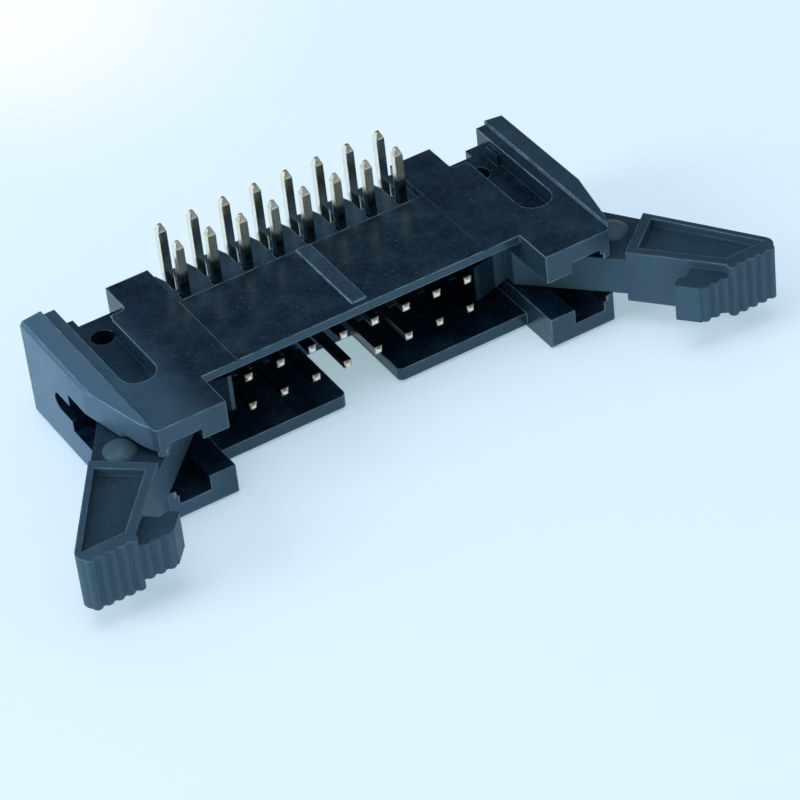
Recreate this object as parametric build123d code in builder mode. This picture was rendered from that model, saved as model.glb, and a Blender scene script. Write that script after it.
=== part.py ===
from build123d import *
from math import cos, hypot, radians, sin, sqrt, tan
import os

# Right-angle box header with two rows of square contacts and two ejector levers.
# +X runs along the rows, -Y points out of the mating cavity, +Z points to the circuit board,
# so the solder tails stand up. The origin is on the board seat, above the tips of the contacts.

# Contact field
pitch = 2.54
columns = 8
row_gap = 2.54
contact_width = 0.62
contact_bend_radius = 0.75
mating_tip_bevel = 0.18
tail_tip_bevel = 0.19
tail_tip_bevel_length = 0.5
tail_above_seat = 3.86
tail_row_gap = 2.54
contact_fit = 0.02

# Shroud
plate_height = 3.94
seat_step = 0.1
top_wall = 0.68
shroud_depth = 7.9
bottom_wall = 1.0
shroud_front = -0.83
cavity_end = 3.93
cavity_floor = 5.9
base_wall = 1.6
key_width = 4.3
key_corner = 0.45
bar_width = 1.16
bar_set_back = 0.53

# Comb that lines up the solder tails
near_tail_behind_base = 1.26
comb_end = 1.11
comb_drop = 0.69
comb_thickness = 1.5
comb_behind_tails = 0.7
tail_gap_width = 0.78
near_hole_length = 0.66
far_gap_before_tail = 1.6
lead_in_length = 0.95
lead_in_widening = 0.3

# Blocks beside the comb, the seam along them and the notch outside each of them
block_length = 3.37
block_behind_comb = 0.15
seam_step = 0.03
gap_behind_base = 1.6
gap_corner = 0.4

# Ears that carry the levers
ear_front = -4.18
ear_beyond_pivot = 3.95
ear_front_inset = 1.95
ear_nose_inset = 1.13
ear_nose_length = 2.03
ear_taper_length = 7.33
ear_behind_comb = 0.5
ear_bottom = -4.2
ear_edge_round = 0.4
band_width = 1.7
band_edge_inset = 0.2
band_edge_drop = 0.17
band_round_drop = 0.3
ridge_step = 0.08
ridge_set_back = 0.3
ledge_set_back = 0.45
ledge_offset = 0.2
floor_set_back = 1.35

# Recess in the board side of each ear, with its rib and screw hole
recess_half_width = 1.34
recess_depth = 1.44
recess_rib_width = 0.35
recess_rib_length = 1.5
recess_rib_drop = 0.45
recess_rib_set_back = 2.1
screw_hole_radius = 0.85
screw_hole_offset = 0.6
screw_hole_set_back = 3.5

# Lever slot, dome groove and side window of each ear
slot_clearance = 0.15
groove_headroom = 0.45
groove_footroom = 0.78
groove_before_pivot = 2.15
groove_ramp = 0.9
window_behind_floor = 2.4
window_drop = 0.1
window_half = 0.7
window_depth = 2.4

# Ejector levers, drawn closed, about the pivot
pivot_beyond_contacts = 7.16
pivot_radius = 1.15
pivot_fit = 0.05
pivot_reach = 2.2
open_angle = 40.4
web_half = 1.5
body_half = 2.12
web_rear = 2.95
web_rear_clearance = 0.5
web_rear_round = 2.2
outer_offset = 2.9
outer_lean = 7.0
elbow_rear = 0.8
toe_clearance = 0.275
toe_facet = 0.55
toe_step = 0.9
toe_round = 0.1
body_clearance = 0.82
body_length = 7.85
body_inner = 2.8
corner_round = 0.85
throat_width = 1.0
throat_depth = 0.6
barb_slope = 0.5
barb_width = 0.73
barb_length = 1.8
rim_rear = 0.75
rim_inner = 0.72
rim_outer = 0.45
rim_front = 1.05
dome_offset = 0.3
dome_forward = 5.54
dome_radius = 1.29
dome_height = 0.55
dome_clearance = 0.1
rib_pitch = 0.8
rib_count = 8
rib_radius = 0.36
rib_stand = 0.18
rib_start = 0.5

# Heights above the origin, which lies on the board seat
plate_z = -seat_step
axis_z = plate_z - plate_height
shroud_bottom_z = plate_z - shroud_depth
cavity_top_z = plate_z - top_wall
cavity_bottom_z = shroud_bottom_z + bottom_wall
ear_bottom_z = axis_z + ear_bottom
recess_floor_z = plate_z - recess_depth
comb_top_z = plate_z - comb_drop
comb_bottom_z = comb_top_z - comb_thickness
band_edge_z = -band_edge_drop

# Places along the rows
field_half = (columns - 1) / 2 * pitch
column_x = [i * pitch - field_half for i in range(columns)]
hole_width = contact_width + 2 * contact_fit
cavity_half_length = field_half + cavity_end
comb_half_length = field_half + comb_end
block_outer = comb_half_length + block_length
pivot_x = field_half + pivot_beyond_contacts
ear_outer = pivot_x + ear_beyond_pivot
ear_front_outer = ear_outer - ear_front_inset
ear_nose_x = ear_outer - ear_nose_inset
band_edge_x = ear_outer - band_edge_inset
ridge_x = ear_outer - band_width
recess_outer = pivot_x + recess_half_width
ledge_inner = pivot_x + ledge_offset
screw_hole_x = pivot_x - screw_hole_offset
window_inner = ear_outer - window_depth

# Places from the mating side to the rear
base_rear = cavity_floor + base_wall
near_tail_y = base_rear + near_tail_behind_base
far_tail_y = near_tail_y + tail_row_gap
far_gap_front = far_tail_y - far_gap_before_tail
comb_rear = far_tail_y + comb_behind_tails
block_rear = comb_rear + block_behind_comb
gap_front = base_rear + gap_behind_base
ear_rear = comb_rear + ear_behind_comb
ear_nose_y = ear_front + ear_nose_length
ear_bend_y = ear_front + ear_taper_length
ridge_rear = ear_rear - ridge_set_back
ledge_rear = ear_rear - ledge_set_back
floor_rear = ear_rear - floor_set_back
screw_hole_y = ear_rear - screw_hole_set_back
recess_rib_y = ear_rear - recess_rib_set_back
window_rear = cavity_floor + window_behind_floor
pivot_y = cavity_floor - web_rear - web_rear_clearance
groove_rear = pivot_y - groove_before_pivot

# Levers: body and hook from the ear's front, toe from the outermost contact
open_turn = radians(open_angle)
lever_slot_half = web_half + slot_clearance
body_start = pivot_y - ear_front + body_clearance
side_length = body_start + body_length
throat_reach = body_inner + throat_width
barb_inner = throat_reach + barb_slope
barb_reach = barb_inner + barb_width
hook_front = side_length - (barb_reach - body_inner) * tan(open_turn)
barb_back = hook_front - barb_length
throat_start = barb_back + throat_depth
toe_radius = pivot_beyond_contacts - contact_width / 2 - toe_clearance
toe_reach = sqrt(toe_radius**2 - web_rear**2)
elbow_inner = toe_reach - (web_rear - elbow_rear) / tan(open_turn)

# Domes of the levers, and the track that each dome swings through in the ears
dome_ball = (dome_radius**2 + dome_height**2) / (2 * dome_height)
dome_ball_z = web_half + dome_height - dome_ball
dome_swing = hypot(dome_offset, dome_forward)
dome_reach_at_slot = sqrt(max(0.0, dome_ball**2 - (lever_slot_half - dome_ball_z) ** 2))
track_half_width = dome_reach_at_slot + dome_clearance
track_half = max(web_half + dome_height, lever_slot_half) + dome_clearance / 2
track_rear = pivot_y + dome_offset * sin(open_turn) - dome_forward * cos(open_turn) + track_half_width
groove_above = web_half + dome_height + groove_headroom
groove_below = web_half + dome_height + groove_footroom


def box_between(low, high, mode=Mode.ADD):
    # A block between two opposite corners.
    size = [high[i] - low[i] for i in range(3)]
    with Locations(tuple(low)):
        Box(*size, align=(Align.MIN, Align.MIN, Align.MIN), mode=mode)


# Housing: shroud, ears, comb and blocks, moulded in one piece
with BuildPart() as housing:
    # Plan of one ear, with its rounded nose and stepped rear end
    for side in (1, -1):
        with BuildSketch(Plane.XY.offset(ear_bottom_z)):
            with BuildLine():
                Polyline(
                    (side * ear_nose_x, ear_nose_y),
                    (side * ear_outer, ear_bend_y),
                    (side * ear_outer, ear_rear),
                    (side * ridge_x, ear_rear),
                    (side * ridge_x, ridge_rear),
                    (side * recess_outer, ridge_rear),
                    (side * recess_outer, ledge_rear),
                    (side * ledge_inner, ledge_rear),
                    (side * ledge_inner, floor_rear),
                    (side * cavity_half_length, floor_rear),
                    (side * cavity_half_length, ear_front),
                    (side * ear_front_outer, ear_front),
                )
                nose_sag_x = side * ((ear_front_outer + ear_nose_x) / 2 + 0.1)
                nose_sag_y = (ear_front + ear_nose_y) / 2 - 0.05
                ThreePointArc(
                    (side * ear_front_outer, ear_front),
                    (nose_sag_x, nose_sag_y),
                    (side * ear_nose_x, ear_nose_y),
                )
            make_face()
        extrude(amount=-ear_bottom_z)
    ear_bottom_edges = (
        housing.faces().filter_by(Axis.Z).sort_by(Axis.Z)[0:2].edges().filter_by(GeomType.LINE)
    )
    outer_edges = ear_bottom_edges.filter_by(
        lambda e: abs(e.center().X) > ridge_x or abs(e.center().Y - ear_front) < 0.01
    )
    fillet(outer_edges, radius=ear_edge_round)

    # Board side of the ears: flat plate, low ridge, and a band that falls to the outer edge
    with BuildSketch(Plane.XZ.offset(-ear_rear - 1)):
        for side in (1, -1):
            with BuildLine():
                Polyline(
                    (side * (cavity_half_length - 1), plate_z - seam_step),
                    (side * (ridge_x - ridge_step), plate_z - seam_step),
                    (side * ridge_x, 0),
                    (side * band_edge_x, band_edge_z),
                    (side * ear_outer, band_edge_z - band_round_drop),
                    (side * (ear_outer + 1), band_edge_z - band_round_drop),
                    (side * (ear_outer + 1), 1),
                    (side * (cavity_half_length - 1), 1),
                    close=True,
                )
            make_face()
    extrude(amount=ear_rear - ear_front + 2, mode=Mode.SUBTRACT)

    # Shroud with its base wall, a seam's step higher between the blocks
    box_between(
        (-cavity_half_length, shroud_front, shroud_bottom_z),
        (cavity_half_length, base_rear, plate_z - seam_step),
    )
    box_between(
        (-comb_half_length, shroud_front, plate_z - top_wall),
        (comb_half_length, base_rear, plate_z),
    )
    # Blocks beside the comb
    for side in (1, -1):
        inner, outer = sorted((side * comb_half_length, side * block_outer))
        box_between(
            (inner, shroud_front + 1, shroud_bottom_z), (outer, block_rear, plate_z - seam_step)
        )
    # Mating cavity
    box_between(
        (-cavity_half_length, shroud_front - 1, cavity_bottom_z),
        (cavity_half_length, cavity_floor, cavity_top_z),
        mode=Mode.SUBTRACT,
    )
    # Keying gap through the lower wall, with rounded lips
    with BuildSketch(Plane.XY.offset(shroud_bottom_z)):
        with Locations((0, shroud_front - 1)):
            Rectangle(key_width, cavity_floor - shroud_front + 1, align=(Align.CENTER, Align.MIN))
    extrude(amount=bottom_wall, mode=Mode.SUBTRACT)
    key_lips = (
        housing.edges()
        .filter_by(Axis.Z)
        .filter_by(lambda e: abs(abs(e.center().X) - key_width / 2) < 0.01)
        .filter_by(lambda e: abs(e.center().Y - shroud_front) < 0.01)
    )
    fillet(key_lips, radius=key_corner)
    # Raised bar along the middle of the board side
    box_between(
        (-bar_width / 2, shroud_front + bar_set_back, plate_z), (bar_width / 2, base_rear, 0)
    )

    # Comb plate with a hole for each near tail and an open gap for each far tail
    with BuildSketch(Plane.XY.offset(comb_bottom_z)):
        with Locations((0, cavity_floor)):
            Rectangle(
                2 * (comb_half_length + 0.5), comb_rear - cavity_floor, align=(Align.CENTER, Align.MIN)
            )
        for x in column_x:
            with Locations((x, near_tail_y)):
                Rectangle(tail_gap_width, near_hole_length, mode=Mode.SUBTRACT)
            with BuildLine():
                half = tail_gap_width / 2
                Polyline(
                    (x - half, far_gap_front),
                    (x + half, far_gap_front),
                    (x + half, comb_rear - lead_in_length),
                    (x + half + lead_in_widening, comb_rear),
                    (x - half - lead_in_widening, comb_rear),
                    (x - half, comb_rear - lead_in_length),
                    close=True,
                )
            make_face(mode=Mode.SUBTRACT)
    extrude(amount=comb_thickness)

    # Square holes that hold the contacts in the base wall
    with BuildSketch(Plane.XZ.offset(-base_rear - 1)):
        with Locations((0, axis_z)):
            with GridLocations(pitch, row_gap, columns, 2):
                Rectangle(hole_width, hole_width)
    extrude(amount=base_wall + 2, mode=Mode.SUBTRACT)

    for side in (1, -1):
        # Slot for the lever, open to the cavity, the front and the outside
        slot_low = sorted((side * (cavity_half_length - 0.5), side * (ear_outer + 1)))
        box_between(
            (slot_low[0], ear_front - 1, axis_z - lever_slot_half),
            (slot_low[1], cavity_floor, axis_z + lever_slot_half),
            mode=Mode.SUBTRACT,
        )
        # Track in both plates of the ear that the lever's domes swing through
        with BuildSketch(Plane.XY.offset(axis_z - track_half)):
            with Locations((side * pivot_x, pivot_y)):
                Circle(dome_swing + track_half_width)
                Circle(dome_swing - track_half_width, mode=Mode.SUBTRACT)
            with Locations((side * (pivot_x + ear_outer) / 2, (ear_front - 1 + track_rear) / 2)):
                Rectangle(ear_outer - pivot_x, track_rear - ear_front + 1, mode=Mode.INTERSECT)
        extrude(amount=2 * track_half, mode=Mode.SUBTRACT)
        # Side window behind the slot, with a round end
        with BuildSketch(Plane.YZ.offset(side * window_inner)):
            with Locations((cavity_floor - 1, axis_z - window_drop)):
                Rectangle(
                    window_rear - window_half - cavity_floor + 1,
                    2 * window_half,
                    align=(Align.MIN, Align.CENTER),
                )
            with Locations((window_rear - window_half, axis_z - window_drop)):
                Circle(window_half)
        extrude(amount=side * (ear_outer - window_inner + 1), mode=Mode.SUBTRACT)
        # Groove that lets the lever's domes pass, with a ramp at its rear end
        with BuildSketch(Plane.YZ.offset(side * (pivot_x - track_half_width))):
            with BuildLine():
                Polyline(
                    (ear_front - 1, axis_z + groove_above),
                    (groove_rear - groove_ramp, axis_z + groove_above),
                    (groove_rear, axis_z + lever_slot_half),
                    (groove_rear, axis_z - lever_slot_half),
                    (groove_rear - groove_ramp, axis_z - groove_below),
                    (ear_front - 1, axis_z - groove_below),
                    close=True,
                )
            make_face()
        extrude(amount=side * 2 * track_half_width, mode=Mode.SUBTRACT)
        # Obround recess in the board side, open to the rear and to the notch beside the block
        with BuildSketch(Plane.XY.offset(recess_floor_z)) as recess:
            with Locations((side * (block_outer + pivot_x) / 2, gap_front)):
                Rectangle(pivot_x - block_outer, ear_rear - gap_front, align=(Align.CENTER, Align.MIN))
            notch_corner = recess.vertices().sort_by_distance((side * block_outer, gap_front))[0]
            fillet(notch_corner, radius=gap_corner)
            with Locations((side * pivot_x, pivot_y)):
                Circle(recess_half_width)
                Rectangle(2 * recess_half_width, ear_rear - pivot_y, align=(Align.CENTER, Align.MIN))
        extrude(amount=-recess_floor_z, mode=Mode.SUBTRACT)
        # Short rib on the outer wall of the recess
        rib_x = sorted((side * (recess_outer - recess_rib_width), side * (recess_outer + 0.1)))
        box_between(
            (rib_x[0], recess_rib_y - recess_rib_length, recess_floor_z - 0.1),
            (rib_x[1], recess_rib_y, plate_z - recess_rib_drop),
        )
        # Blind bearing holes for the lever's pivot, above and below the slot
        with BuildSketch(Plane.XY.offset(axis_z)):
            with Locations((side * pivot_x, pivot_y)):
                Circle(pivot_radius + pivot_fit)
        extrude(amount=pivot_reach + pivot_fit, both=True, mode=Mode.SUBTRACT)
        # Screw hole through the rear of the ear
        with BuildSketch(Plane.XY.offset(ear_bottom_z)):
            with Locations((side * screw_hole_x, screw_hole_y)):
                Circle(screw_hole_radius)
        extrude(amount=-ear_bottom_z, mode=Mode.SUBTRACT)
housing.part.label = "housing"


def make_contact(x, row_z, tail_y):
    # One square contact, bent up at a right angle into its solder tail.
    with BuildPart() as contact:
        with BuildSketch(Plane.YZ.offset(x)):
            with BuildLine():
                FilletPolyline(
                    (0, row_z),
                    (tail_y, row_z),
                    (tail_y, tail_above_seat),
                    radius=contact_bend_radius,
                )
            trace(line_width=contact_width)
        extrude(amount=contact_width / 2, both=True)
        mating_end = contact.faces().sort_by(Axis.Y)[0]
        chamfer(mating_end.edges(), length=mating_tip_bevel)
        tail_end = contact.faces().sort_by(Axis.Z)[-1]
        chamfer(tail_end.edges(), length=tail_tip_bevel, length2=tail_tip_bevel_length, reference=tail_end)
    return contact


def far_meeting(outer, front):
    # Where a line beside the lever's outer side meets a line along its grip face.
    slope = tan(open_turn)
    lean = tan(radians(outer_lean))
    v = -(front + slope * (outer + body_inner)) / (1 + slope * lean)
    return outer + v * lean, v


def grip_point(along, inset):
    # A point along the grip face from the hook's end, set back from the face.
    u = -barb_reach + along * cos(open_turn) + inset * sin(open_turn)
    v = (barb_reach - body_inner) * tan(open_turn) - side_length
    return u, v - along * sin(open_turn) + inset * cos(open_turn)


def make_lever(side):
    # One ejector lever, drawn closed about its pivot and turned to its open position.
    turn = side * open_turn
    pivot = Plane(
        origin=(side * pivot_x, pivot_y, axis_z),
        x_dir=(cos(turn), sin(turn), 0),
        z_dir=(0, 0, 1),
    )
    lean = tan(radians(outer_lean))
    far_u, far_v = far_meeting(outer_offset, side_length)
    hook_u, hook_v = grip_point(0, 0)
    rear_u = outer_offset + web_rear * lean
    facet_u = toe_reach - toe_facet * cos(open_turn)
    facet_v = web_rear - toe_facet * sin(open_turn)
    step_u = elbow_inner - toe_step * sin(open_turn)
    step_v = elbow_rear + toe_step * cos(open_turn)

    with BuildPart() as lever:
        # Web with its toe and hook
        with BuildSketch(pivot) as web:
            with BuildLine():
                Polyline(
                    (-side * elbow_inner, elbow_rear),
                    (-side * step_u, step_v),
                    (-side * facet_u, facet_v),
                    (-side * toe_reach, web_rear),
                    (side * rear_u, web_rear),
                    (side * far_u, far_v),
                    (side * hook_u, hook_v),
                    (-side * barb_reach, -barb_back),
                    (-side * barb_inner, -barb_back),
                    (-side * throat_reach, -throat_start),
                    (-side * body_inner, -throat_start),
                    (-side * body_inner, -body_start),
                    close=True,
                )
            make_face()
            fillet(web.vertices().sort_by_distance((-side * toe_reach, web_rear))[0], radius=toe_round)
            fillet(web.vertices().sort_by_distance((side * rear_u, web_rear))[0], radius=web_rear_round)
            fillet(web.vertices().sort_by_distance((side * far_u, far_v))[0], radius=corner_round)
        extrude(amount=web_half, both=True)
        # Raised rim round a pocket on both faces
        with BuildSketch(pivot) as rim:
            with BuildLine():
                Polyline(
                    (-side * body_inner, -body_start),
                    (side * (outer_offset - body_start * lean), -body_start),
                    (side * far_u, far_v),
                    (-side * body_inner, -side_length),
                    close=True,
                )
            make_face()
            fillet(rim.vertices().sort_by_distance((side * far_u, far_v))[0], radius=corner_round)
            pocket_u = body_inner - rim_inner
            pocket_v = body_start + rim_rear
            front = side_length - rim_front / cos(open_turn)
            pocket_far_u, pocket_far_v = far_meeting(outer_offset - rim_outer, front)
            with BuildLine():
                Polyline(
                    (-side * pocket_u, -pocket_v),
                    (side * (outer_offset - rim_outer - pocket_v * lean), -pocket_v),
                    (side * pocket_far_u, pocket_far_v),
                    (-side * pocket_u, -front - rim_inner * tan(open_turn)),
                    close=True,
                )
            make_face(mode=Mode.SUBTRACT)
        extrude(amount=body_half, both=True)
        # Grip ribs across the hook and across the wider body
        for n in range(rib_count):
            u, v = grip_point(rib_start + n * rib_pitch, rib_radius - rib_stand)
            with BuildSketch(pivot):
                with Locations((side * u, v)):
                    Circle(rib_radius)
            extrude(amount=body_half if u > -body_inner else web_half, both=True)
        # Pivot through both faces
        with BuildSketch(pivot):
            Circle(pivot_radius)
        extrude(amount=pivot_reach, both=True)
        # Domes that click into the ear when the lever is closed
        for face in (1, -1):
            centre = (side * dome_offset, -dome_forward, face * dome_ball_z)
            with Locations(pivot.from_local_coords(centre)):
                Sphere(dome_ball)
    return lever


os.makedirs("parts", exist_ok=True)
export_step(housing.part, "parts/housing.step")
for i, x in enumerate(column_x):
    near = make_contact(x, axis_z + row_gap / 2, near_tail_y)
    near.part.label = f"contact_near_{i + 1}"
    export_step(near.part, f"parts/contact_near_{i + 1}.step")
    far = make_contact(x, axis_z - row_gap / 2, far_tail_y)
    far.part.label = f"contact_far_{i + 1}"
    export_step(far.part, f"parts/contact_far_{i + 1}.step")
for name, side in (("lever_left", -1), ("lever_right", 1)):
    lever = make_lever(side)
    lever.part.label = name
    export_step(lever.part, f"parts/{name}.step")
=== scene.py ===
"""Looks of a right-angle box header with two ejector levers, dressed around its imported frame.

The frame holds every piece at its real size: the moulded housing, sixteen bent contacts and two levers.
This script gives them their finishes, softens their moulded edges, and sets up the floor, light and camera.
"""

import logging
from abc import ABC, abstractmethod
from dataclasses import dataclass
from enum import Enum

import bpy
import numpy as np
from mathutils import Matrix, Vector


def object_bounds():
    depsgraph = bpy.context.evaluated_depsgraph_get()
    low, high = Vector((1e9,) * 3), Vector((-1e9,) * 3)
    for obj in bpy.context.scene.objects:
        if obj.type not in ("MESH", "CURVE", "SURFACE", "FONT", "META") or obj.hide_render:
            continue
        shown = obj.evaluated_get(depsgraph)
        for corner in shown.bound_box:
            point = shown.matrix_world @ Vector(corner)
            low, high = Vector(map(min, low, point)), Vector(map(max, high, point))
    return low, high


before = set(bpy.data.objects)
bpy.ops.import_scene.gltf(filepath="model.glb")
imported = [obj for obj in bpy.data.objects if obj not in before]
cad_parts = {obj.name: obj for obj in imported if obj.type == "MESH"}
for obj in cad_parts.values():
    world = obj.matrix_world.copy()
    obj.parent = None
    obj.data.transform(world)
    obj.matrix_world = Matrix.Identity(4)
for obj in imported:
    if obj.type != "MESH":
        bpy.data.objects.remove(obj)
CAD_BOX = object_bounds()

MM = 0.001
LOG = logging.getLogger("box_header")

Colour = tuple[float, float, float]
Point = tuple[float, float, float]
Limits = tuple[float, float]
Socket = bpy.types.NodeSocket
Sockets = dict[str, Socket]
Tree = bpy.types.ShaderNodeTree

RISING: Limits = (0.0, 1.0)
FALLING: Limits = (1.0, 0.0)
# The cosine to an axis over which a face comes to look straight along it
STRAIGHT: Limits = (0.8, 0.95)
# An end of a region that lies anywhere outside the part, in metres
OPEN_END = 1.0
REGION_BORDER = 0.04 * MM


class Row(Enum):
    """The two rows of contacts, named by how far they lie from the circuit board."""

    NEAR = "contact_near_"
    FAR = "contact_far_"


class Side(Enum):
    """The two ends of the header, as the photograph's viewer sees them."""

    LEFT = "left"
    RIGHT = "right"


@dataclass(frozen=True)
class Noise:
    """Soft noise, the stretch of its values that an effect uses, and what that stretch becomes."""

    scale: float
    detail: float
    used: Limits = RISING
    gives: Limits = RISING
    stretch: Point | None = None


@dataclass(frozen=True)
class Region:
    """A box of the part, in metres, and how strongly it is marked. An axis with None doesn't limit it."""

    x: Limits | None = None
    y: Limits | None = None
    z: Limits | None = None
    share: float = 1.0

    def limits(self) -> dict[str, Limits]:
        """The limits of the axes that have them, by axis."""
        sides = {"X": self.x, "Y": self.y, "Z": self.z}
        return {axis: side for axis, side in sides.items() if side is not None}


def rgba(colour: Colour) -> tuple[float, float, float, float]:
    """Adds a full alpha to a colour."""
    return (*colour, 1.0)


@dataclass
class Wiring:
    """Short ways to add and join nodes in one node tree."""

    tree: bpy.types.NodeTree

    def add(self, kind: str, **settings: object) -> bpy.types.Node:
        """Adds a node and sets its properties.

        Args:
            kind: The node's type name.
            settings: Property values, by property name.

        Returns:
            The new node.
        """
        node = self.tree.nodes.new(kind)
        for label, value in settings.items():
            setattr(node, label, value)
        return node

    def feed(self, target: Socket, value: object) -> None:
        """Links a socket to the target, or writes a plain value on it.

        Args:
            target: The input that is fed.
            value: A socket, number or colour.
        """
        if isinstance(value, bpy.types.NodeSocket):
            self.tree.links.new(value, target)
        else:
            target.default_value = value

    def math(self, operation: str, first: object, second: object = 0.0, clamp: bool = False) -> Socket:
        """Takes one arithmetic step on numbers that vary over the surface.

        Args:
            operation: The step's name.
            first: The first number or socket.
            second: The second number or socket, where the step needs one.
            clamp: Whether the result is held between zero and one.

        Returns:
            The result.
        """
        node = self.add("ShaderNodeMath", operation=operation, use_clamp=clamp)
        self.feed(node.inputs[0], first)
        self.feed(node.inputs[1], second)
        return node.outputs[0]

    def product(self, first: object, *others: object) -> object:
        """Multiplies masks and values, which keeps only what all of them mark.

        Args:
            first: The first number or socket.
            others: The ones that it is multiplied by.

        Returns:
            The product.
        """
        for other in others:
            first = self.math("MULTIPLY", first, other)
        return first

    def greatest(self, first: object, *others: object) -> object:
        """Takes the greatest of several masks, which joins what they mark.

        Args:
            first: The first number or socket.
            others: The ones that it is compared with.

        Returns:
            The greatest value.
        """
        for other in others:
            first = self.math("MAXIMUM", first, other)
        return first

    def ramp(self, value: object, over: Limits, gives: Limits = RISING) -> Socket:
        """Turns one stretch of values smoothly into another, and holds the ends.

        Args:
            value: The value to turn.
            over: Where it starts to change and where it has changed.
            gives: What it is at those two places.

        Returns:
            The turned value.
        """
        node = self.add("ShaderNodeMapRange", interpolation_type="SMOOTHSTEP")
        self.feed(node.inputs["Value"], value)
        node.inputs["From Min"].default_value, node.inputs["From Max"].default_value = over
        node.inputs["To Min"].default_value, node.inputs["To Max"].default_value = gives
        return node.outputs["Result"]

    def mix(self, factor: object, first: object, second: object) -> Socket:
        """Mixes two colours.

        Args:
            factor: The second colour's share.
            first: A colour or socket.
            second: A colour or socket.

        Returns:
            The mixed colour.
        """
        node = self.add("ShaderNodeMix", data_type="RGBA")
        self.feed(node.inputs["Factor"], factor)
        for socket, value in ((node.inputs[6], first), (node.inputs[7], second)):
            self.feed(socket, rgba(value) if isinstance(value, tuple) else value)
        return node.outputs[2]

    def noise(self, place: Socket, noise: Noise) -> Socket:
        """Adds raw soft noise.

        Args:
            place: Object coordinates.
            noise: The noise, which is stretched along the axes if it says so.

        Returns:
            The noise's values, as they come.
        """
        if noise.stretch is not None:
            mapping = self.add("ShaderNodeMapping")
            self.feed(mapping.inputs["Vector"], place)
            mapping.inputs["Scale"].default_value = noise.stretch
            place = mapping.outputs["Vector"]
        node = self.add("ShaderNodeTexNoise")
        self.feed(node.inputs["Vector"], place)
        node.inputs["Scale"].default_value = noise.scale
        node.inputs["Detail"].default_value = noise.detail
        return node.outputs["Fac"]

    def patches(self, place: Socket, noise: Noise) -> Socket:
        """Adds soft noise, turned into the values that its effect needs."""
        return self.ramp(self.noise(place, noise), noise.used, noise.gives)

    def bump(self, height: Socket, normal: Socket, depth: float, strength: float) -> Socket:
        """Raises fine relief on the surface.

        Args:
            height: The relief's height, from zero to one.
            normal: The normal that it rises from.
            depth: The height in metres that one stands for.
            strength: How much of the relief shows.

        Returns:
            The normal of the relief.
        """
        node = self.add("ShaderNodeBump")
        node.inputs["Distance"].default_value = depth
        node.inputs["Strength"].default_value = strength
        self.feed(node.inputs["Height"], height)
        self.feed(node.inputs["Normal"], normal)
        return node.outputs["Normal"]

    def object_place(self) -> Socket:
        """Object coordinates, which are the part's own frame in metres."""
        return self.add("ShaderNodeTexCoord").outputs["Object"]

    def face_normal(self) -> Socket:
        """The flat face's own normal."""
        return self.add("ShaderNodeNewGeometry").outputs["True Normal"]

    def axes(self, vector: Socket) -> Sockets:
        """Splits a vector.

        Args:
            vector: The vector.

        Returns:
            Its X, Y and Z, by name.
        """
        split = self.add("ShaderNodeSeparateXYZ")
        self.feed(split.inputs[0], vector)
        return {axis: split.outputs[axis] for axis in "XYZ"}

    def mirrored(self, place: Sockets) -> Sockets:
        """Coordinates that run the same way towards both ends of the header."""
        return {**place, "X": self.math("ABSOLUTE", place["X"])}

    def region(self, place: Sockets, region: Region) -> object:
        """Marks the inside of a region.

        Args:
            place: Coordinates by axis, mirrored where the region is at both ends.
            region: The box to mark.

        Returns:
            The region's share inside it and zero outside, with a soft border.
        """
        mask: object = region.share
        for axis, (low, high) in region.limits().items():
            after = self.ramp(place[axis], (low - REGION_BORDER, low))
            before = self.ramp(place[axis], (high, high + REGION_BORDER), FALLING)
            mask = self.product(mask, after, before)
        return mask


def new_group(name: str, inputs: dict[str, float], outputs: dict[str, str]) -> Tree:
    """Starts a shader node group with named inputs and outputs.

    Args:
        name: The group's name.
        inputs: Default value of each number input, by name.
        outputs: Socket type of each output, by name.

    Returns:
        The node group, with its input and output nodes in place.
    """
    tree = bpy.data.node_groups.new(name, "ShaderNodeTree")
    for label, value in inputs.items():
        socket = tree.interface.new_socket(label, in_out="INPUT", socket_type="NodeSocketFloat")
        socket.default_value = value
    for label, kind in outputs.items():
        tree.interface.new_socket(label, in_out="OUTPUT", socket_type=kind)
    tree.nodes.new("NodeGroupInput")
    tree.nodes.new("NodeGroupOutput")
    return tree


def new_material(name: str) -> tuple[bpy.types.Material, Wiring, bpy.types.Node]:
    """Starts a node material.

    Args:
        name: The material's name.

    Returns:
        The material, the wiring of its node tree, and its Principled shader.
    """
    material = bpy.data.materials.new(name)
    material.use_nodes = True
    return material, Wiring(material.node_tree), material.node_tree.nodes["Principled BSDF"]


@dataclass(frozen=True)
class RoundedEdge:
    """Effect of a slightly rounded edge, whose mask carries the painted pale highlight and wear on edges.

    The rounded normal is the average over a small radius. Where it leans away from the face's own
    normal the surface is an edge, so the mask is one minus the cosine between them, stretched.
    """

    radius: float = 0.1 * MM
    spread: float = 0.12
    samples: int = 6

    def group(self) -> Tree:
        """Builds the node group.

        Returns:
            A group with a Mask and a Normal output.
        """
        tree = new_group(
            "rounded_edge",
            {"Radius": self.radius, "Spread": self.spread},
            {"Mask": "NodeSocketFloat", "Normal": "NodeSocketVector"},
        )
        wire = Wiring(tree)
        inputs, outputs = tree.nodes["Group Input"].outputs, tree.nodes["Group Output"].inputs
        rounded = wire.add("ShaderNodeBevel", samples=self.samples)
        wire.feed(rounded.inputs["Radius"], inputs["Radius"])
        cosine = wire.add("ShaderNodeVectorMath", operation="DOT_PRODUCT")
        wire.feed(cosine.inputs[0], rounded.outputs["Normal"])
        wire.feed(cosine.inputs[1], wire.face_normal())
        lean = wire.math("SUBTRACT", 1.0, cosine.outputs["Value"])
        wire.feed(outputs["Mask"], wire.math("DIVIDE", lean, inputs["Spread"], clamp=True))
        wire.feed(outputs["Normal"], rounded.outputs["Normal"])
        return tree


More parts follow.
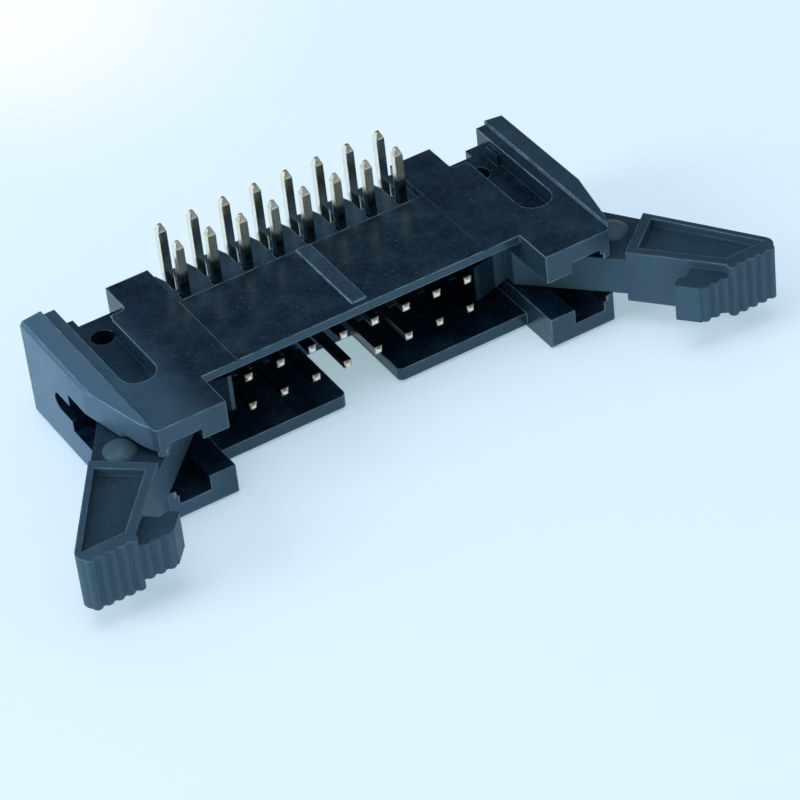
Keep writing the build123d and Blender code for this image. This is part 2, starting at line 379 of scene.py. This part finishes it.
@dataclass(frozen=True)
class SettledDust:
    """Effect of fine pale dust that has settled on faces that look up.

    A speck is the middle of a random cell, where the distance to the cell's point is small, and only
    some cells carry one. The upward share of the face's normal thins them out on walls.
    """

    cells: float = 3400.0
    size: float = 0.30
    share: float = 0.4
    haze: Noise = Noise(260.0, 4.0, (0.45, 0.75))
    upward: Limits = (0.1, 0.9)
    kept: Limits = (0.15, 1.0)

    def group(self) -> Tree:
        """Builds the node group.

        Returns:
            A group with a Specks and a Haze output.
        """
        tree = new_group(
            "settled_dust",
            {"Cells": self.cells, "Size": self.size, "Share": self.share},
            {"Specks": "NodeSocketFloat", "Haze": "NodeSocketFloat"},
        )
        wire = Wiring(tree)
        inputs, outputs = tree.nodes["Group Input"].outputs, tree.nodes["Group Output"].inputs
        place = wire.object_place()
        cells = wire.add("ShaderNodeTexVoronoi", feature="F1")
        wire.feed(cells.inputs["Vector"], place)
        wire.feed(cells.inputs["Scale"], inputs["Cells"])
        chance = wire.add("ShaderNodeSeparateColor")
        wire.feed(chance.inputs[0], cells.outputs["Color"])
        carries = wire.math("LESS_THAN", chance.outputs[0], inputs["Share"])
        reach = wire.product(inputs["Size"], chance.outputs[1])
        away = wire.math("DIVIDE", cells.outputs["Distance"], reach)
        near = wire.math("SUBTRACT", 1.0, away, clamp=True)
        level = wire.ramp(wire.axes(wire.face_normal())["Z"], self.upward, self.kept)
        wire.feed(outputs["Specks"], wire.product(near, carries, level))
        wire.feed(outputs["Haze"], wire.product(wire.patches(place, self.haze), level))
        return tree


@dataclass(frozen=True)
class MouldedBlack(ABC):
    """Finish of a black moulding: polished and textured faces, pale edges of painted highlight and wear, and
    dust.

    The shader is common to the mouldings. Which of its places are textured, in painted shade, under the
    painted edge highlight or painted lighter is for each moulding to say, by methods that take the
    material's wiring, the object coordinates by axis, and the face's normal by axis without its sign.
    """

    name: str
    deep: Colour = (0.0006, 0.0040, 0.0100)
    pale: Colour = (0.0060, 0.0205, 0.0430)
    textured: Colour = (0.051, 0.104, 0.168)
    # Painted light: upright faces in the open take this lighter colour
    side: Colour = (0.018, 0.040, 0.058)
    # Painted highlight: the pale colour of edges, partly wear
    edge: Colour = (0.26, 0.39, 0.46)
    dust: Colour = (0.38, 0.48, 0.54)
    clouds: Noise = Noise(520.0, 8.0, (0.2, 0.7), (0.0, 0.6))
    speckles: Noise = Noise(2800.0, 2.0, (0.4, 0.7), (0.0, 0.4))
    edge_highlight_and_wear: Noise = Noise(900.0, 3.0, (0.3, 0.65), (0.35, 1.0))
    level_facing: Limits = (0.2, 0.8)
    edge_radius: float = 0.14 * MM
    edge_strength: float = 0.85
    dust_strength: float = 0.17
    haze_strength: float = 0.02
    roughness: float = 0.22
    texture_roughness: float = 0.5
    dust_roughness: float = 0.3
    unevenness: Noise = Noise(700.0, 4.0, (0.25, 0.75), (-0.04, 0.06))
    hidden_to_open_gloss: Limits = (0.14, 0.5)
    refraction: float = 1.64
    gloss_tint: Colour = (0.44, 0.78, 1.0)
    grain: Noise = Noise(9000.0, 2.0)
    grain_depth: float = 0.004 * MM
    grain_strength: float = 0.6
    axis_z: float = -4.04 * MM

    @abstractmethod
    def texture_mask(self, wire: Wiring, place: Sockets, facing: Sockets) -> object:
        """Finds how textured a place is, from zero on a polished face to one."""

    @abstractmethod
    def hidden_mask(self, wire: Wiring, place: Sockets, facing: Sockets) -> object:
        """Finds the places that light hardly reaches, where the shader paints shade, from zero in the open
        to one.
        """

    @abstractmethod
    def highlit_edge_mask(self, wire: Wiring, place: Sockets) -> object:
        """Finds where edges get the pale painted highlight and wear, from zero where they are plain to one.
        """

    @abstractmethod
    def lightened(self, wire: Wiring, place: Sockets, facing: Sockets, colour: Socket) -> Socket:
        """Gives a colour again, with painted light in the moulding's own lighter place."""

    def material(self, edges: Tree, dust: Tree) -> bpy.types.Material:
        """Builds the node material.

        Args:
            edges: The shared rounded edge group.
            dust: The shared dust group.

        Returns:
            The finished material.
        """
        material, wire, shader = new_material(self.name)
        place = wire.object_place()
        axes = wire.axes(place)
        edge = wire.add("ShaderNodeGroup", node_tree=edges)
        edge.inputs["Radius"].default_value = self.edge_radius
        settled = wire.add("ShaderNodeGroup", node_tree=dust)
        normal = wire.axes(wire.face_normal())
        facing = {axis: wire.math("ABSOLUTE", value) for axis, value in normal.items()}
        # Painted shade: hidden places lose the lighter side, texture and edge colours
        shown = wire.math("SUBTRACT", 1.0, self.hidden_mask(wire, axes, facing))
        texture = wire.product(self.texture_mask(wire, axes, facing), shown)
        upright = wire.ramp(facing["Z"], self.level_facing, FALLING)

        mottle = wire.math("ADD", wire.patches(place, self.clouds), wire.patches(place, self.speckles))
        colour = wire.mix(mottle, self.deep, self.pale)
        # Painted light: upright faces in the open take the lighter side colour
        colour = wire.mix(wire.product(upright, shown), colour, self.side)
        colour = wire.mix(texture, colour, self.textured)
        # Painted light: each moulding's own lighter place
        colour = self.lightened(wire, axes, facing, colour)
        # Painted highlight: pale edge colour in patches, partly wear, kept out of the painted shade
        exposed = wire.product(shown, shown, self.highlit_edge_mask(wire, axes), wire.patches(place, self.edge_highlight_and_wear))
        edge_highlight_and_wear = wire.product(edge.outputs["Mask"], exposed, self.edge_strength)
        colour = wire.mix(edge_highlight_and_wear, colour, self.edge)
        specks = wire.math("MULTIPLY", settled.outputs["Specks"], self.dust_strength, clamp=True)
        haze = wire.product(settled.outputs["Haze"], self.haze_strength)
        colour = wire.mix(wire.math("ADD", specks, haze, clamp=True), colour, self.dust)
        wire.feed(shader.inputs["Base Color"], colour)

        rough = wire.ramp(texture, RISING, (self.roughness, self.texture_roughness))
        rough = wire.math("ADD", rough, wire.patches(place, self.unevenness))
        dusted = wire.math("ADD", rough, wire.product(specks, self.dust_roughness), clamp=True)
        wire.feed(shader.inputs["Roughness"], dusted)
        # Painted shade: hidden places reflect less
        gloss = wire.ramp(shown, RISING, self.hidden_to_open_gloss)
        wire.feed(shader.inputs["Specular IOR Level"], gloss)
        shader.inputs["IOR"].default_value = self.refraction
        shader.inputs["Specular Tint"].default_value = rgba(self.gloss_tint)

        grain = wire.noise(place, self.grain)
        grained = wire.bump(grain, edge.outputs["Normal"], self.grain_depth, self.grain_strength)
        wire.feed(shader.inputs["Normal"], grained)
        return material


@dataclass(frozen=True)
class HousingBlack(MouldedBlack):
    """Black of the housing: polished plates, textured ears and outer bands, painted light on the left ear
    and its outer wall, and painted shade in the recesses and slots.
    """

    band_x: float = 18.3 * MM
    band_edge: float = 0.06 * MM
    wall_edge: float = 0.1 * MM
    middle_x: Limits = (0.0, 1.0 * MM)
    right_top_texture_and_shade: float = 0.25
    ear_x: Limits = (12.6 * MM, 16.6 * MM)
    left_ear_texture_and_light: float = 0.52
    right_ear_texture: float = 0.06
    bar_z: Limits = (-0.08 * MM, -0.05 * MM)
    bar_texture: float = 0.27
    comb: Region = Region(y=(7.6 * MM, OPEN_END), z=(-0.84 * MM, -0.74 * MM), share=0.3)
    seam: Region = Region(x=(9.8 * MM, 10.2 * MM), z=(-0.84 * MM, OPEN_END), share=0.65)
    wall_sheen_y: Limits = (2.0 * MM, 9.0 * MM)
    wall_painted_sheen: float = 0.11
    slot_x: Limits = (13.0 * MM, 18.0 * MM)
    slot_y: Limits = (-4.0 * MM, 8.4 * MM)
    slot_half: float = 2.3 * MM
    slot_edge: float = 0.05 * MM
    slot_facing: Limits = (0.3, 0.5)
    recess: Region = Region(
        x=(13.3 * MM, 17.5 * MM), y=(0.9 * MM, 13.0 * MM), z=(-1.6 * MM, -0.3 * MM), share=0.6
    )
    tray: Region = Region(
        x=(13.0 * MM, 18.0 * MM), y=(-4.1 * MM, 3.0 * MM), z=(-7.6 * MM, -5.8 * MM), share=0.8
    )
    bore: Region = Region(x=(14.5 * MM, 16.4 * MM), y=(8.05 * MM, 9.95 * MM), z=(-OPEN_END, -1.65 * MM))

    def texture_mask(self, wire: Wiring, place: Sockets, facing: Sockets) -> object:
        """Finds the outer bands, which are rough, and the ears, the bar and the comb, which are less so.

        Args:
            wire: The material's wiring.
            place: Object coordinates, by axis.
            facing: The face's normal, by axis, without its sign.

        Returns:
            One on a textured face and zero on a polished one.
        """
        across = wire.mirrored(place)["X"]
        band = wire.ramp(across, (self.band_x, self.band_x + self.band_edge))
        # Painted shade: the right band's top faces get less of the lighter texture
        right_top = wire.product(wire.ramp(facing["Z"], STRAIGHT), wire.ramp(place["X"], self.middle_x))
        band = wire.product(band, wire.ramp(right_top, RISING, (1.0, self.right_top_texture_and_shade)))
        # Painted light: the left ear gets more of the lighter texture than the right
        start, end = self.ear_x
        left_ear = wire.ramp(place["X"], (-start, -end), (0.0, self.left_ear_texture_and_light))
        right_ear = wire.ramp(place["X"], (start, end), (0.0, self.right_ear_texture))
        bar = wire.ramp(place["Z"], self.bar_z, (0.0, self.bar_texture))
        comb = wire.region(place, self.comb)
        return wire.greatest(band, bar, comb, wire.math("ADD", left_ear, right_ear))

    def hidden_mask(self, wire: Wiring, place: Sockets, facing: Sockets) -> object:
        """Finds the ears' recesses, trays and screw holes, and the walls inside the levers' slots, for
        painted shade.

        Args:
            wire: The material's wiring.
            place: Object coordinates, by axis.
            facing: The face's normal, by axis, without its sign.

        Returns:
            One in the darkest places and zero in the open.
        """
        both = wire.mirrored(place)
        slot_z = (self.axis_z - self.slot_half, self.axis_z + self.slot_half)
        slot = wire.region(both, Region(x=(self.slot_x[0], OPEN_END), y=self.slot_y, z=slot_z))
        inside = wire.ramp(both["X"], (self.slot_x[1], self.slot_x[1] + self.slot_edge), FALLING)
        turned = wire.ramp(facing["X"], self.slot_facing, FALLING)
        slot = wire.product(slot, wire.greatest(inside, turned))
        boxes = [wire.region(both, region) for region in (self.recess, self.tray, self.bore)]
        return wire.greatest(slot, *boxes)

    def highlit_edge_mask(self, wire: Wiring, place: Sockets) -> object:
        """Finds all edges for the painted highlight and wear, and the seams beside the ears less than the
        others.
        """
        return wire.math("SUBTRACT", 1.0, wire.region(wire.mirrored(place), self.seam))

    def lightened(self, wire: Wiring, place: Sockets, facing: Sockets, colour: Socket) -> Socket:
        """Lightens the rear of the left ear's outer wall with a painted pale sheen.

        Args:
            wire: The material's wiring.
            place: Object coordinates, by axis.
            facing: The face's normal, by axis, without its sign.
            colour: The colour so far.

        Returns:
            The colour with the painted sheen on it.
        """
        outside = wire.ramp(place["X"], (-self.band_x - self.wall_edge, -self.band_x), FALLING)
        wall = wire.product(outside, wire.ramp(facing["X"], STRAIGHT))
        haze = wire.ramp(place["Y"], self.wall_sheen_y, (0.0, self.wall_painted_sheen))
        # Painted sheen on the left outer wall, in the dust colour
        return wire.mix(wire.product(wall, haze), colour, self.dust)


@dataclass(frozen=True)
class LeverBlack(MouldedBlack):
    """Black of the levers: duller than the housing, with a textured rim and domes lighter by painted light.
    """

    textured: Colour = (0.024, 0.052, 0.090)
    # Painted light: the levers' upright faces in the open take this lighter colour
    side: Colour = (0.047, 0.089, 0.114)
    # Painted light: colour of the domes
    dome: Colour = (0.038, 0.068, 0.088)
    edge_radius: float = 0.18 * MM
    edge_strength: float = 0.4
    roughness: float = 0.5
    texture_roughness: float = 0.6
    rim_rise: Limits = (2.06 * MM, 2.10 * MM)
    middle_x: Limits = (-1.0 * MM, 1.0 * MM)
    right_rim_texture_and_shade: float = 0.55
    grip_y: Limits = (-5.0 * MM, -2.0 * MM)
    grip_texture_and_ear_shade: Limits = (0.5, 0.1)
    highlit_rise: Limits = (1.95 * MM, 2.05 * MM)
    dome_rise: Limits = (1.5 * MM, 1.53 * MM)
    dome_x: float = 19.87 * MM
    dome_y: float = -1.57 * MM
    dome_radius: float = 1.29 * MM
    dome_core: float = 0.9
    left_toe: Region = Region(x=(-12.95 * MM, -10.2 * MM), y=(0.3 * MM, 5.0 * MM))
    right_toe: Region = Region(x=(9.7 * MM, 11.7 * MM), y=(0.3 * MM, 5.0 * MM), share=0.9)

    def rise(self, wire: Wiring, place: Sockets) -> Socket:
        """Height above or below the plane that the levers swing in."""
        return wire.math("ABSOLUTE", wire.math("SUBTRACT", place["Z"], self.axis_z))

    def texture_mask(self, wire: Wiring, place: Sockets, facing: Sockets) -> object:
        """Finds the rim, less on the right lever as painted shade, and the grip, less towards the ear as
        painted shade from the ear.

        Args:
            wire: The material's wiring.
            place: Object coordinates, by axis.
            facing: The face's normal, by axis, without its sign. The levers don't need it.

        Returns:
            One on a textured face and zero on a polished one.
        """
        rim = wire.ramp(self.rise(wire, place), self.rim_rise)
        lever = wire.ramp(place["X"], self.middle_x, (1.0, self.right_rim_texture_and_shade))
        grip = wire.ramp(place["Y"], self.grip_y, self.grip_texture_and_ear_shade)
        return wire.greatest(wire.product(rim, lever), grip)

    def hidden_mask(self, wire: Wiring, place: Sockets, facing: Sockets) -> object:
        """Finds the levers' toes, which lie inside the shroud, for painted shade."""
        return wire.math("ADD", wire.region(place, self.left_toe), wire.region(place, self.right_toe))

    def highlit_edge_mask(self, wire: Wiring, place: Sockets) -> object:
        """Finds the edges of the rim, which stands highest, for the painted highlight and wear."""
        return wire.ramp(self.rise(wire, place), self.highlit_rise)

    def lightened(self, wire: Wiring, place: Sockets, facing: Sockets, colour: Socket) -> Socket:
        """Lightens the domes with painted light: what stands up from the web within a dome's radius of its
        axis.

        Args:
            wire: The material's wiring.
            place: Object coordinates, by axis.
            facing: The face's normal, by axis, without its sign. The levers don't need it.
            colour: The colour so far.

        Returns:
            The colour with the domes in it.
        """
        aside = wire.math("SUBTRACT", wire.mirrored(place)["X"], self.dome_x)
        ahead = wire.math("SUBTRACT", place["Y"], self.dome_y)
        away = wire.math("SQRT", wire.math("ADD", wire.product(aside, aside), wire.product(ahead, ahead)))
        within = wire.ramp(away, (self.dome_core * self.dome_radius, self.dome_radius), FALLING)
        proud = wire.ramp(self.rise(wire, place), self.dome_rise)
        # Painted light on the domes
        return wire.mix(wire.product(within, proud), colour, self.dome)


@dataclass(frozen=True)
class PlatedContact:
    """Finish of the contacts: pale gold plating, drawn lengthwise, a little duller in patches, with painted
    shade where light hardly reaches.
    """

    name: str
    gold: Colour = (0.94, 0.84, 0.60)
    silver: Colour = (0.92, 0.89, 0.80)
    dull: Colour = (0.60, 0.52, 0.38)
    shaded: Colour = (0.17, 0.19, 0.20)
    tint: Noise = Noise(900.0, 3.0, (0.35, 0.65))
    wear: Noise = Noise(1500.0, 3.0, (0.58, 0.8), (0.0, 0.3))
    streaks: Noise = Noise(5000.0, 2.0, (0.3, 0.7), (0.18, 0.24), (1.0, 0.08, 0.08))
    bright_tail_z: Limits = (-0.7 * MM, 0.0)
    bright_tip_y: Limits = (0.1 * MM, 0.3 * MM)
    bright_rear_y: Limits = (9.3 * MM, 9.8 * MM)
    bright_metal: float = 1.0
    edge_radius: float = 0.19 * MM
    scratch_depth: float = 0.0010 * MM
    scratch_strength: float = 0.4

    def bright_mask(self, wire: Wiring, place: Sockets) -> object:
        """Finds what light reaches. The rest of a contact gets painted shade, for the black walls it
        mirrors.

        Args:
            wire: The material's wiring.
            place: Object coordinates, by axis.

        Returns:
            One on the tail, the tip and the rear, and zero between them.
        """
        tail = wire.ramp(place["Z"], self.bright_tail_z)
        tip = wire.ramp(place["Y"], self.bright_tip_y, FALLING)
        return wire.greatest(tail, wire.ramp(place["Y"], self.bright_rear_y), tip)

    def material(self, edges: Tree) -> bpy.types.Material:
        """Builds the node material.

        Args:
            edges: The shared rounded edge group.

        Returns:
            The finished material.
        """
        material, wire, shader = new_material(self.name)
        place = wire.object_place()
        edge = wire.add("ShaderNodeGroup", node_tree=edges)
        edge.inputs["Radius"].default_value = self.edge_radius

        colour = wire.mix(wire.patches(place, self.tint), self.gold, self.silver)
        colour = wire.mix(wire.patches(place, self.wear), colour, self.dull)
        bright = self.bright_mask(wire, wire.axes(place))
        # Painted shade: the shaded colour stands where light hardly reaches
        wire.feed(shader.inputs["Base Color"], wire.mix(bright, self.shaded, colour))
        wire.feed(shader.inputs["Metallic"], wire.ramp(bright, RISING, (1.0, self.bright_metal)))

        streaks = wire.noise(place, self.streaks)
        wire.feed(shader.inputs["Roughness"], wire.ramp(streaks, self.streaks.used, self.streaks.gives))
        scratched = wire.bump(streaks, edge.outputs["Normal"], self.scratch_depth, self.scratch_strength)
        wire.feed(shader.inputs["Normal"], scratched)
        return material


def dress(node: str, material: bpy.types.Material) -> None:
    """Puts one material on a frame node.

    Args:
        node: The node's name.
        material: The material that takes the place of its plain one.
    """
    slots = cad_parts[node].data.materials
    slots.clear()
    slots.append(material)
    LOG.info("dressed %s in %s", node, material.name)


@dataclass
class Housing:
    """The moulded housing with its ears, comb and blocks."""

    finish: HousingBlack

    def build(self, edges: Tree, dust: Tree) -> None:
        """Dresses the housing."""
        dress("housing", self.finish.material(edges, dust))


@dataclass
class Levers:
    """The two ejector levers."""

    finish: LeverBlack

    def build(self, edges: Tree, dust: Tree) -> None:
        """Dresses both levers.

        Args:
            edges: The shared rounded edge group.
            dust: The shared dust group.
        """
        material = self.finish.material(edges, dust)
        for side in Side:
            dress(f"lever_{side.value}", material)


@dataclass
class Contacts:
    """The two rows of bent square contacts."""

    finishes: dict[Row, PlatedContact]
    columns: int = 8

    def build(self, edges: Tree) -> None:
        """Dresses every contact of both rows.

        Args:
            edges: The shared rounded edge group.
        """
        for row, finish in self.finishes.items():
            material = finish.material(edges)
            for column in range(1, self.columns + 1):
                dress(f"{row.value}{column}", material)


@dataclass(frozen=True)
class SoftLamp:
    """A square soft lamp that is aimed at the part's origin."""

    name: str
    place: Point
    width: float
    watts: float

    def hang(self, colour: Colour) -> None:
        """Hangs the lamp at its place.

        Args:
            colour: The colour of its light.
        """
        data = bpy.data.lights.new(self.name, "AREA")
        data.shape = "SQUARE"
        data.size = self.width
        data.energy = self.watts
        data.color = colour
        lamp = bpy.data.objects.new(self.name, data)
        turn = (-Vector(self.place)).to_track_quat("-Z", "Y").to_matrix().to_4x4()
        lamp.matrix_world = Matrix.Translation(self.place) @ turn
        bpy.context.scene.collection.objects.link(lamp)
        LOG.info("hung lamp %s", self.name)


@dataclass
class Studio:
    """Pale floor, soft light and the camera that took the photograph."""

    floor_z: float
    floor_half: float = 3.0
    floor_gap: float = 0.02 * MM
    floor_colour: Colour = (0.50, 0.505, 0.62)
    floor_shine: Colour = (0.30, 0.42, 0.46)
    floor_roughness: float = 0.8
    floor_gloss: float = 0.1
    glow_colour: Colour = (0.78, 0.60, 0.64)
    glow_place: tuple[float, float] = (0.002, 0.060)
    glow_radius: float = 0.027
    lamp_colour: Colour = (0.90, 0.97, 1.0)
    sky_colour: Colour = (0.80, 0.94, 1.0)
    sky_strength: float = 0.52
    mirrored_sky_strength: float = 0.13
    camera_place: Point = (-0.09433765, -0.18954022, 0.15912081)
    camera_right: Point = (0.85059588, -0.51745449, -0.09342112)
    camera_up: Point = (0.3874026, 0.49658314, 0.7767396)
    focal_px: float = 3838.576
    frame_px: float = 800.0
    sensor: float = 36.0
    view_depth: Limits = (0.01, 20.0)
    lamps: tuple[SoftLamp, ...] = (
        SoftLamp("overhead", (-0.10, -0.04, 0.62), 0.42, 1.35),
        SoftLamp("left_wall", (-0.60, 0.10, 0.30), 0.30, 2.3),
        SoftLamp("right_front", (0.45, -0.55, 0.35), 0.40, 0.3),
    )

    def floor(self) -> None:
        """Makes the floor: a flat square of two by two points, a hair below the part's lowest point."""
        corners = np.array([(-1, -1), (1, -1), (1, 1), (-1, 1)], dtype=float) * self.floor_half
        points = np.column_stack([corners, np.full(len(corners), self.floor_z - self.floor_gap)])
        mesh = bpy.data.meshes.new("floor")
        mesh.from_pydata(points.tolist(), [], [(0, 1, 2, 3)])
        floor = bpy.data.objects.new("floor", mesh)
        bpy.context.scene.collection.objects.link(floor)
        mesh.materials.append(self.floor_material())
        LOG.info("laid the floor at %.5f m", self.floor_z)

    def floor_material(self) -> bpy.types.Material:
        """Builds the floor's matt pale material.

        Returns:
            A material that turns white near the glow, and is clear when seen from below.
        """
        material, wire, shader = new_material("pale_floor")
        away = wire.add("ShaderNodeVectorMath", operation="DISTANCE")
        wire.feed(away.inputs[0], wire.object_place())
        away.inputs[1].default_value = (*self.glow_place, self.floor_z)
        near = wire.ramp(away.outputs["Value"], (0.0, self.glow_radius), FALLING)
        # Painted pool of light: the floor turns white near the glow
        wire.feed(shader.inputs["Base Color"], wire.mix(near, self.floor_colour, self.glow_colour))
        beneath = wire.add("ShaderNodeNewGeometry").outputs["Backfacing"]
        wire.feed(shader.inputs["Alpha"], wire.math("SUBTRACT", 1.0, beneath))
        shader.inputs["Emission Color"].default_value = rgba(self.floor_shine)
        shader.inputs["Emission Strength"].default_value = 1.0
        shader.inputs["Roughness"].default_value = self.floor_roughness
        shader.inputs["Specular IOR Level"].default_value = self.floor_gloss
        return material

    def sky(self) -> None:
        """Lights the set evenly from all round, pale to the camera and dark where glossy faces mirror it."""
        world = bpy.data.worlds.new("studio_sky")
        bpy.context.scene.world = world
        world.use_nodes = True
        wire = Wiring(world.node_tree)
        background = world.node_tree.nodes["Background"]
        background.inputs["Color"].default_value = rgba(self.sky_colour)
        path = wire.add("ShaderNodeLightPath")
        mirrored = path.outputs["Is Glossy Ray"]
        strength = wire.ramp(mirrored, RISING, (self.sky_strength, self.mirrored_sky_strength))
        seen = wire.greatest(strength, path.outputs["Is Camera Ray"])
        wire.feed(background.inputs["Strength"], seen)

    def camera(self) -> None:
        """Places the camera where the photograph was taken from."""
        data = bpy.data.cameras.new("camera")
        data.sensor_width = self.sensor
        data.lens = self.focal_px / self.frame_px * self.sensor
        data.clip_start, data.clip_end = self.view_depth
        right, up = Vector(self.camera_right), Vector(self.camera_up)
        turn = Matrix((right, up, right.cross(up))).transposed().to_4x4()
        camera = bpy.data.objects.new("camera", data)
        camera.matrix_world = Matrix.Translation(self.camera_place) @ turn
        bpy.context.scene.collection.objects.link(camera)
        bpy.context.scene.camera = camera

    def build(self) -> None:
        """Sets up the whole studio."""
        bpy.context.scene.view_settings.view_transform = "Standard"
        self.floor()
        self.sky()
        for lamp in self.lamps:
            lamp.hang(self.lamp_colour)
        self.camera()


def main() -> None:
    """Builds every part of the picture in order."""
    logging.basicConfig(level=logging.INFO, format="%(name)s: %(message)s")
    edges, dust = RoundedEdge().group(), SettledDust().group()
    Housing(HousingBlack("housing_black")).build(edges, dust)
    Levers(LeverBlack("lever_black")).build(edges, dust)
    near = PlatedContact("plating_near", bright_tail_z=(0.9 * MM, 1.6 * MM), bright_metal=0.85)
    Contacts({Row.NEAR: near, Row.FAR: PlatedContact("plating_far")}).build(edges)
    Studio(floor_z=CAD_BOX[0].z).build()


if __name__ == "__main__":
    main()
